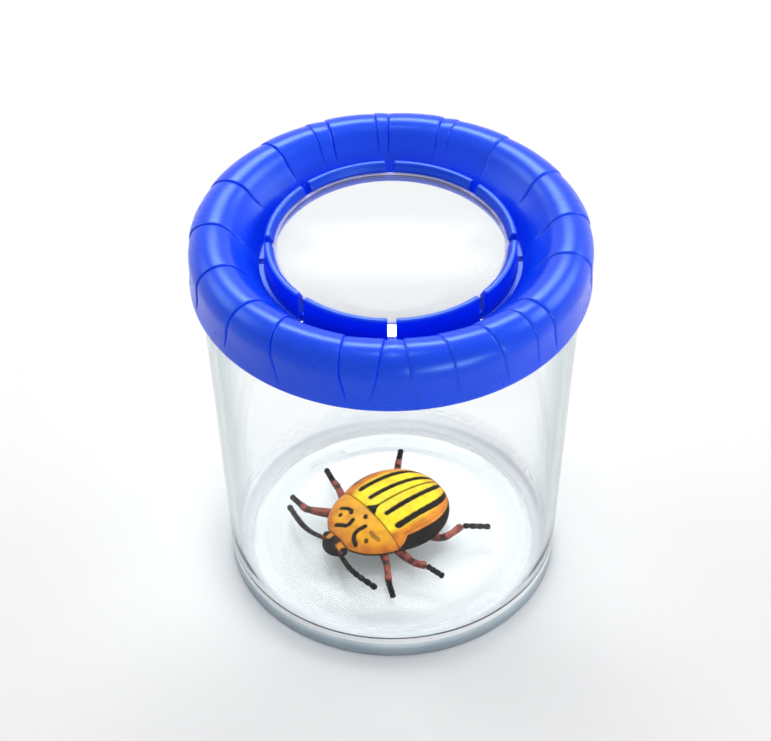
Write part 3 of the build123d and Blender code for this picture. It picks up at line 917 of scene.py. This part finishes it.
def clip_shell(index):
    """One clip with its stretch of the groove's floor: its outline carried between two straight-sided gaps.

    The angle of a point at radius r runs from one gap to the next, less asin(half gap / r) at each end. Over
    the last stretch the upright thins and drops along a quarter circle, which rounds its ends.
    """
    hook_under = jar_height - SEAT_DROP + LENS_RIM + HOOK_LIFT
    hook_radius = clip_inside - HOOK_REACH
    clip_top = jar_height + CLIP_RISE
    corners = (
        (clip_inside, lid_underside, 0),
        (groove_edge + ROOTED, lid_underside, 0),
        (groove_edge + ROOTED, trough_floor, 0),
        (clip_outside, trough_floor, CLIP_FOOT_ROUND),
        (clip_outside, clip_top, CLIP_ROUND),
        (clip_inside, clip_top, CLIP_ROUND),
        (clip_inside, hook_under + HOOK_NOSE + HOOK_RAMP, HOOK_SOFT),
        (hook_radius, hook_under + HOOK_NOSE, HOOK_SOFT),
        (hook_radius, hook_under, HOOK_SOFT),
        (clip_inside, hook_under, 0),
    )
    radius, height = refined(rounded(corners), LID_STEP).T
    swing = np.linspace(0, np.pi / 2, CLIP_END_STEPS)
    end_place = CLIP_END_ROUND * (1 - np.cos(swing))
    end_inset = CLIP_END_ROUND * (1 - np.sin(swing))
    length = math.radians(360 / CLIP_COUNT) * clip_outside - CLIP_GAP
    middle_place = np.linspace(CLIP_END_ROUND, length - CLIP_END_ROUND, CLIP_STATIONS)[1:-1]
    place = np.concatenate([end_place, middle_place, (length - end_place)[::-1]])[:, None] / length
    inset = np.concatenate([end_inset, np.zeros(len(middle_place)), end_inset[::-1]])[:, None]
    upright = np.clip((height - trough_floor) / CLIP_WALL, 0, 1)
    near_top = np.clip((height - hook_under) / (clip_top - hook_under), 0, 1)
    clip_middle = clip_inside + CLIP_WALL / 2
    thin_radius = clip_middle + (radius - clip_middle) * (1 - upright * inset / CLIP_WALL)
    low_height = height - near_top * inset
    half_gap = np.arcsin(CLIP_GAP / 2 / thin_radius)
    pitch = 2 * np.pi / CLIP_COUNT
    turn = index * pitch + half_gap + place * (pitch - 2 * half_gap)
    points = np.stack([thin_radius * np.cos(turn), thin_radius * np.sin(turn), low_height], -1)
    return shell(points, caps=True)


def ring_lid():
    """The lid: creased ring, lens seat and the clips."""
    shells = [ring_shell(), seat_shell()]
    shells += [clip_shell(index) for index in range(CLIP_COUNT)]
    add_piece("ring_lid", shells, blue, "lid", "lid_cap")


# Toy beetle


def stand(points):
    """Turn points from the beetle's own frame to its heading and set them on the jar's floor."""
    turn = math.radians(BEETLE_HEADING)
    forward, left, up = np.moveaxis(points, -1, 0)
    return np.stack([
        BEETLE_X + forward * math.cos(turn) - left * math.sin(turn),
        BEETLE_Y + forward * math.sin(turn) + left * math.cos(turn),
        FLOOR_TOP + RIM_LEVEL + up,
    ], -1)


def add_beetle_piece(name, shells, material):
    """Stand a piece of the beetle in the jar in place of its node."""
    standing = [(stand(points), faces, values) for points, faces, values in shells]
    add_piece(f"toy_{name}", standing, material, "beetle", f"beetle_{name}")


def dome_grid(centre, half_length, half_width, rise, stations, across):
    """Dome over stations (turns from front to tail) and across (turns from the middle line to the side).

    Forward is centre + half length * cos(station). The half width and the height at a station shrink with
    its sine, and a point across sits at half width * sin(across), height * cos(across).
    """
    station = stations[:, None]
    forward = centre + half_length * np.cos(station) + 0 * across
    left = half_width * np.sin(station) * np.sin(across)
    up = rise * np.sin(station) * np.cos(across)
    return forward, left, up


def closed_loops(forward, left, up):
    """Close each row of a dome with a flat underside that runs back to the row's first point."""
    share = np.linspace(0, 1, FLAT_COLUMNS)
    flat_forward = np.repeat(forward[:, :1], FLAT_COLUMNS, 1)
    flat_left = left[:, -1:] + (left[:, :1] - left[:, -1:]) * share
    top = np.stack([forward, left, up], -1)
    flat = np.stack([flat_forward, flat_left, np.zeros(flat_left.shape)], -1)
    return np.concatenate([top, flat], 1)


def over_loops(values, rest):
    """Painted values of a dome, followed by one value for its flat underside."""
    return np.concatenate([values, np.full((len(values), FLAT_COLUMNS), rest)], 1)


def wing_case(side):
    """Half of the back from neckline to tail, with grooved stripes, a black side and rolled seams."""
    first = math.acos((NECKLINE - WING_CENTRE) / WING_HALF_LENGTH)
    stations = np.linspace(first, np.pi, DOME_STATIONS)
    across = np.linspace(0, np.pi / 2, DOME_COLUMNS)[None]
    forward, left, up = dome_grid(
        WING_CENTRE, WING_HALF_LENGTH, WING_HALF_WIDTH, WING_RISE, stations, across)
    narrow = np.sin(stations)[:, None]
    body = WING_HALF_WIDTH * narrow
    thin = np.clip(body / STRIPE_TAIL, STRIPE_LEAST, 1)
    ink = np.zeros(forward.shape)
    for angle, straight, square, half, start in STRIPES:
        run = np.clip((start - forward) / (start - STRIPE_END), 0, None)
        sideways = np.abs(across - np.radians(angle + straight * run + square * run**2)) * body
        ahead = np.clip(forward - start, 0, None)
        wave = np.sin(STRIPE_WAVES * forward + angle) * np.sin(STRIPE_SECOND * STRIPE_WAVES * forward)
        waver = 1 - STRIPE_WAVER * wave
        distance = np.hypot(sideways, ahead)
        ink = np.maximum(ink, fall(distance, half * thin * waver, STRIPE_SOFT))
        flank = fall(distance, half * thin, STRIPE_FLANK + STRIPE_SOFT)
        ink = np.maximum(ink, STRIPE_FLANK_INK * flank)
    up = up - STRIPE_GROOVE * ink
    tail_share = np.clip(forward / STRIPE_END, 0, 1)
    taper = MARGIN_TAPER * np.clip(forward - MARGIN_FRONT, 0, None)
    margin = MARGIN_ANGLE + MARGIN_TAIL * tail_share + taper
    to_line = np.abs(across - np.radians(margin - SIDE_LINE_LIFT)) * body
    ink = np.maximum(ink, SIDE_LINE_INK * fall(to_line, SIDE_LINE_HALF, SIDE_LINE_SOFT))
    below = (across - np.radians(margin)) * body
    ink = np.maximum(ink, np.clip(below / STRIPE_SOFT, 0, 1))
    up = up + MARGIN_RIDGE * fall(np.abs(below), MARGIN_RIDGE_HALF, MARGIN_RIDGE_SOFT) * narrow
    ink = np.maximum(ink, SEAM_INK * fall(np.abs(left), SEAM_INK_HALF, SEAM_INK_SOFT))
    up = up - SEAM_DIP * np.exp(-np.abs(left) / SEAM_ROLL) * narrow
    up = up - SEAM_DIP * np.exp(-(NECKLINE - forward) / SEAM_ROLL)
    up = np.clip(up, 0, None)
    left = np.maximum(left, SEAM / 2 * narrow)
    warm = np.clip((np.degrees(across) - WARM_ANGLES[0]) / (WARM_ANGLES[1] - WARM_ANGLES[0]), 0, 1)
    tail = np.clip((forward - WARM_TAIL[0]) / (WARM_TAIL[1] - WARM_TAIL[0]), 0, 1)
    warm = np.maximum(warm, WARM_TAIL_SHARE * tail)
    points = closed_loops(forward, side * left, up)
    return shell(points, caps=True, ink=over_loops(ink, 1.0), warm=over_loops(warm, 1.0))


def scutellum():
    """Small black triangle between the wing cases, swelling a little over their domes."""
    share = np.linspace(0, 1, SCUTELLUM_ROWS)[:, None]
    across = np.linspace(-1, 1, SCUTELLUM_COLUMNS)[None]
    forward = NECKLINE - SCUTELLUM_LENGTH * (1 - share) + 0 * across
    half = SCUTELLUM_WIDTH / 2 * share
    left = half * across
    dome = np.sqrt(1 - ((forward - WING_CENTRE) / WING_HALF_LENGTH) ** 2 - (left / WING_HALF_WIDTH) ** 2)
    up = WING_RISE * dome + SCUTELLUM_SWELL * (1 - across**2) - SCUTELLUM_SWELL * (1 - share)
    under = np.stack([forward, left, up - SCUTELLUM_THICK * share], -1)[:, ::-1]
    points = np.concatenate([np.stack([forward, left, up], -1), under], 1)
    return shell(points, caps=True, ink=1.0)


def stroke_distance(forward, left, stroke):
    """Least distance from each point to a stroke, by the nearest place on each of its runs."""
    nearest = np.full(forward.shape, np.inf)
    for start, end in zip(stroke[:-1], stroke[1:]):
        run = np.subtract(end, start)
        share = ((forward - start[0]) * run[0] + (left - start[1]) * run[1]) / (run @ run)
        share = np.clip(share, 0, 1)
        gap = np.hypot(forward - start[0] - share * run[0], left - start[1] - share * run[1])
        nearest = np.minimum(nearest, gap)
    return nearest


def shield():
    """Broad shield with dark marks, a dark lower edge and rolled borders."""
    first = math.acos((SHIELD_FRONT - SHIELD_CENTRE) / SHIELD_HALF_LENGTH)
    last = math.acos((NECKLINE + SEAM - SHIELD_CENTRE) / SHIELD_HALF_LENGTH)
    stations = np.linspace(first, last, DOME_STATIONS)
    across = np.linspace(-np.pi / 2, np.pi / 2, 2 * DOME_COLUMNS)[None]
    forward, left, up = dome_grid(
        SHIELD_CENTRE, SHIELD_HALF_LENGTH, SHIELD_HALF_WIDTH, SHIELD_RISE, stations, across)
    ink = np.zeros(forward.shape)
    for strength, stroke in SHIELD_MARKS:
        mark = fall(stroke_distance(forward, left, stroke), MARK_HALF_WIDTH, MARK_SOFT)
        ink = np.maximum(ink, strength * mark)
    side_edge = fall(up, SHIELD_EDGE / 2, SHIELD_EDGE)
    warm = np.clip(SHIELD_WARM * fall(up, SHIELD_WARM_HALF, SHIELD_WARM_SOFT), 0, 1)
    behind_front = fall(SHIELD_FRONT - forward, SHIELD_FRONT_HALF, SHIELD_FRONT_SOFT)
    warm = np.maximum(warm, SHIELD_FRONT_WARM * behind_front)
    up = up - MARK_GROOVE * ink
    up = up - SEAM_DIP * np.exp(-(forward - NECKLINE - SEAM) / SEAM_ROLL)
    up = np.clip(up, 0, None)
    ink = np.maximum(ink, side_edge)
    points = closed_loops(forward, left, up)
    return shell(points, caps=True, ink=over_loops(ink, 1.0), warm=over_loops(warm, 1.0))


def belly():
    """Dark underside: half an ellipsoid with cross grooves."""
    stations = np.linspace(0, np.pi, DOME_STATIONS)
    across = np.linspace(-np.pi / 2, np.pi / 2, DOME_COLUMNS)[None]
    forward, left, up = dome_grid(
        BELLY_CENTRE, BELLY_HALF_LENGTH, BELLY_HALF_WIDTH, BELLY_DEPTH, stations, across)
    wave = np.cos(np.pi * BELLY_RINGS * (forward - BELLY_CENTRE) / BELLY_HALF_LENGTH)
    groove = BELLY_GROOVE * np.clip(wave, 0, 1) ** BELLY_GROOVE_POWER
    up = np.clip(up - groove * (up > BELLY_GROOVE), 0, None)
    points = closed_loops(forward, left, up)
    points[..., 2] *= -1
    return shell(points, ink=BELLY_INK)


def head():
    """Front of an ellipsoid: black, with orange cheeks at the back and to the sides."""
    first = math.acos((SHIELD_FRONT + SEAM - HEAD_CENTRE) / HEAD_HALF_LENGTH)
    stations = np.linspace(first, 0, DOME_STATIONS // 2)[:, None]
    around = np.linspace(0, 2 * np.pi, DOME_COLUMNS, endpoint=False)[None]
    forward = HEAD_CENTRE + HEAD_HALF_LENGTH * np.cos(stations) + 0 * around
    left = HEAD_HALF_WIDTH * np.sin(stations) * np.cos(around)
    up = HEAD_HALF_HEIGHT * np.sin(stations) * np.sin(around) - HEAD_DROP
    cheek = fall(forward - SHIELD_FRONT, CHEEK_LENGTH, CHEEK_SOFT)
    cheek = cheek * fall(-np.abs(left), -CHEEK_SIDE, CHEEK_SOFT)
    points = np.stack([forward, left, up], -1)
    return shell(points, caps=True, ink=1 - cheek, warm=CHEEK_WARM)


def ball(centre, radius):
    """Ball as a grid of turns from pole to pole and round it."""
    polar = np.linspace(0, np.pi, BALL_ROWS)[:, None]
    around = np.linspace(0, 2 * np.pi, BALL_COLUMNS, endpoint=False)[None]
    points = np.stack([
        np.sin(polar) * np.cos(around),
        np.sin(polar) * np.sin(around),
        np.cos(polar) + 0 * around,
    ], -1)
    return shell(np.array(centre) + radius * points, ink=1.0, warm=0.0)


def through(points, share):
    """Smooth path through points at shares from 0 to the last point's number.

    Between two points the path is a cubic whose ends run parallel to the line between the points around
    them.
    """
    points = np.array(points, float)
    slope = np.gradient(points, axis=0)
    index = np.clip(share.astype(int), 0, len(points) - 2)
    t = (share - index)[:, None]
    start, end = points[index], points[index + 1]
    leave, arrive = slope[index], slope[index + 1]
    ease = t * t * (3 - 2 * t)
    return start + (end - start) * ease + leave * t * (1 - t) ** 2 - arrive * (1 - t) * t * t


def limb(path, radii, flute=0.0, **paint):
    """Round limb along a path: circles square to the path, with flutes along it where asked."""
    along = np.gradient(path, axis=0)
    along /= np.linalg.norm(along, axis=1, keepdims=True)
    sideways = np.cross((0.0, 0.0, 1.0), along)
    sideways /= np.linalg.norm(sideways, axis=1, keepdims=True)
    upward = np.cross(along, sideways)
    around = np.linspace(0, 2 * np.pi, LIMB_SIDES, endpoint=False)
    reach = radii[:, None] * (1 - flute * (0.5 + 0.5 * np.cos(LEG_FLUTES * around)))
    ring = np.cos(around)[:, None] * sideways[:, None] + np.sin(around)[:, None] * upward[:, None]
    points = path[:, None] + reach[..., None] * ring
    return shell(points, **{name: value[:, None] for name, value in paint.items()})


def bead_radii(share, count, radius, waist):
    """Radius along a row of beads: each swells much as half a sine wave does, and both ends close."""
    bead = share * count % 1
    swell = waist + (radius - waist) * np.sin(np.pi * bead) ** BEAD_POWER
    closed = np.minimum(share, 1 - share) * count * BEAD_CLOSE
    return swell * np.sqrt(np.clip(closed, 0, 1))


def feeler(side):
    """Beaded feeler, thicker to its tip, rusty at its root."""
    share = np.linspace(0, 1, FEELER_BEADS * BEAD_STEPS + 1)
    points = FEELER_POINTS[side]
    path = through(points, share * (len(points) - 1))
    radii = bead_radii(share, FEELER_BEADS, FEELER_RADIUS, FEELER_WAIST)
    radii = radii * (FEELER_ROOT + FEELER_GROWTH * share)
    return limb(path, radii, ink=np.clip(FEELER_ROOT_INK + FEELER_INK_RISE * share, 0, 1))


def leg(hip, knee, ankle):
    """Fluted leg from hip over knee to ankle, dark at its joints."""
    stops, radii = np.array(LEG_SHAPE).T
    share = np.linspace(0, stops[-1], LEG_STEPS)
    path = through((hip, knee, ankle), share)
    ink = sum(fall(np.abs(share - place), half, soft) for place, half, soft in LEG_DARK)
    ink = np.clip(LEG_INK * ink, 0, 1)
    return limb(path, np.interp(share, stops, radii), flute=LEG_FLUTE, ink=ink)


def foot(ankle, toe):
    """Black beaded foot from the ankle to the toe on the floor."""
    share = np.linspace(0, 1, BEETLE_FOOT_BEADS * BEAD_STEPS + 1)
    toe = (*toe, FLOOR_GAP + BEETLE_FOOT_RADIUS - RIM_LEVEL)
    path = np.array(ankle) + share[:, None] * np.subtract(toe, ankle)
    radii = bead_radii(share, BEETLE_FOOT_BEADS, BEETLE_FOOT_RADIUS, BEETLE_FOOT_WAIST)
    return limb(path, radii, ink=np.ones(len(share)))


def toy_beetle():
    """All pieces of the beetle."""
    add_beetle_piece("scutellum", [scutellum()], rust_paint)
    add_beetle_piece("shield", [shield()], shield_paint)
    add_beetle_piece("belly", [belly()], rust_paint)
    add_beetle_piece("head", [head()], shield_paint)
    for side, side_name in ((1, "left"), (-1, "right")):
        add_beetle_piece(f"wing_case_{side_name}", [wing_case(side)], wing_paint)
        eye_place = (HEAD_CENTRE + EYE_FORWARD, side * EYE_SIDE, EYE_LIFT)
        add_beetle_piece(f"eye_{side_name}", [ball(eye_place, EYE_RADIUS)], rust_paint)
        add_beetle_piece(f"antenna_{side_name}", [feeler(side_name)], rust_paint)
    for leg_name, (hip, knee, ankle, toe) in LEG_POINTS.items():
        add_beetle_piece(f"leg_{leg_name}", [leg(hip, knee, ankle)], rust_paint)
        add_beetle_piece(f"foot_{leg_name}", [foot(ankle, toe)], rust_paint)


clear_jar()
ring_lid()
magnifier()
toy_beetle()


# Stage, light and camera


def add_seen(tree):
    """1 for what the eye sees, also in gloss and through clear plastic, and 0 for light on other things."""
    path = tree.nodes.new("ShaderNodeLightPath")
    seen = add_math(tree, "MAXIMUM", path.outputs["Is Camera Ray"], path.outputs["Is Glossy Ray"])
    return add_math(tree, "MAXIMUM", seen, path.outputs["Is Transmission Ray"])


def white_world():
    """Even light from all round, which shows as a white background."""
    world = bpy.data.worlds.new("studio")
    world.use_nodes = True
    tree = world.node_tree
    sky = tree.nodes["Background"]
    sky.inputs["Color"].default_value = (*WHITE, 1.0)
    tree.links.new(add_range(tree, add_seen(tree), WORLD_LEVEL, WORLD_SEEN), sky.inputs["Strength"])
    bpy.context.scene.world = world


def pale_floor():
    """Pale floor that takes shadows and grows white with distance, where it runs into the background."""
    material, tree, shader = new_material("pale_floor")
    tree.links.new(mottled(tree, *FLOOR_PALE), shader.inputs["Base Color"])
    shader.inputs["Roughness"].default_value = FLOOR_ROUGH
    shader.inputs["Specular IOR Level"].default_value = 0.0
    shader.inputs["Emission Color"].default_value = (*WHITE, 1.0)
    place = tree.nodes.new("ShaderNodeTexCoord")
    from_jar = tree.nodes.new("ShaderNodeVectorMath")
    from_jar.operation = "LENGTH"
    tree.links.new(place.outputs["Object"], from_jar.inputs[0])
    distance = from_jar.outputs["Value"]
    glow = add_range(tree, distance, FLOOR_GLOW, FLOOR_FAR_GLOW, *FLOOR_FADE, "SMOOTHSTEP")
    seen_glow = add_math(tree, "MULTIPLY", add_seen(tree), glow)
    tree.links.new(seen_glow, shader.inputs["Emission Strength"])
    mesh = bpy.data.meshes.new("floor")
    corners = [(x * FLOOR_HALF, y * FLOOR_HALF, 0.0) for x, y in ((-1, -1), (1, -1), (1, 1), (-1, 1))]
    mesh.from_pydata(corners, [], [(0, 1, 2, 3)])
    mesh.materials.append(material)
    floor = bpy.data.objects.new("floor", mesh)
    bpy.context.scene.collection.objects.link(floor)


def add_lamp(name, place, size, radiance):
    """Soft box that looks at the jar: bright in its middle and fading to its edges."""
    light = bpy.data.lights.new(name, "AREA")
    light.shape = "RECTANGLE"
    light.size, light.size_y = size
    light.energy = radiance * math.pi * size[0] * size[1]
    light.use_nodes = True
    tree = light.node_tree
    place_on = tree.nodes.new("ShaderNodeNewGeometry")
    from_middle = tree.nodes.new("ShaderNodeVectorMath")
    from_middle.operation = "DISTANCE"
    from_middle.inputs[1].default_value = LAMP_MIDDLE
    tree.links.new(place_on.outputs["Parametric"], from_middle.inputs[0])
    distance = from_middle.outputs["Value"]
    fade = add_range(tree, distance, 0.0, 1.0, LAMP_EDGE, LAMP_EDGE * LAMP_CORE, "SMOOTHSTEP")
    tree.links.new(fade, tree.nodes["Emission"].inputs["Strength"])
    lamp = bpy.data.objects.new(name, light)
    lamp.location = place
    aim = Vector(CAMERA_AIM) * MM
    lamp.rotation_euler = (aim - Vector(place)).to_track_quat("-Z", "Y").to_euler()
    lamp.visible_camera = False
    bpy.context.scene.collection.objects.link(lamp)


def add_camera():
    """Camera at the photograph's angle: it looks along +Y and down, rolled a little about its view."""
    elevation = math.radians(CAMERA_ELEVATION)
    roll = math.radians(CAMERA_ROLL)
    forward = Vector((0, math.cos(elevation), -math.sin(elevation)))
    upright = Vector((0, math.sin(elevation), math.cos(elevation)))
    level = Vector((1, 0, 0))
    right = math.cos(roll) * level + math.sin(roll) * upright
    up = math.cos(roll) * upright - math.sin(roll) * level
    data = bpy.data.cameras.new("camera")
    data.sensor_width = SENSOR_WIDTH
    data.lens = FOCAL_PIXELS / FRAME_WIDTH * SENSOR_WIDTH
    data.clip_start = CAMERA_NEAR
    camera = bpy.data.objects.new("camera", data)
    place = (Vector(CAMERA_AIM) - forward * CAMERA_DISTANCE) * MM
    turn = Matrix((right, up, -forward)).transposed()
    camera.matrix_world = Matrix.Translation(place) @ turn.to_4x4()
    bpy.context.scene.collection.objects.link(camera)
    bpy.context.scene.camera = camera


pale_floor()
for lamp in LAMPS:
    add_lamp(*lamp)
add_camera()
white_world()
bpy.context.scene.view_settings.view_transform = "Standard"
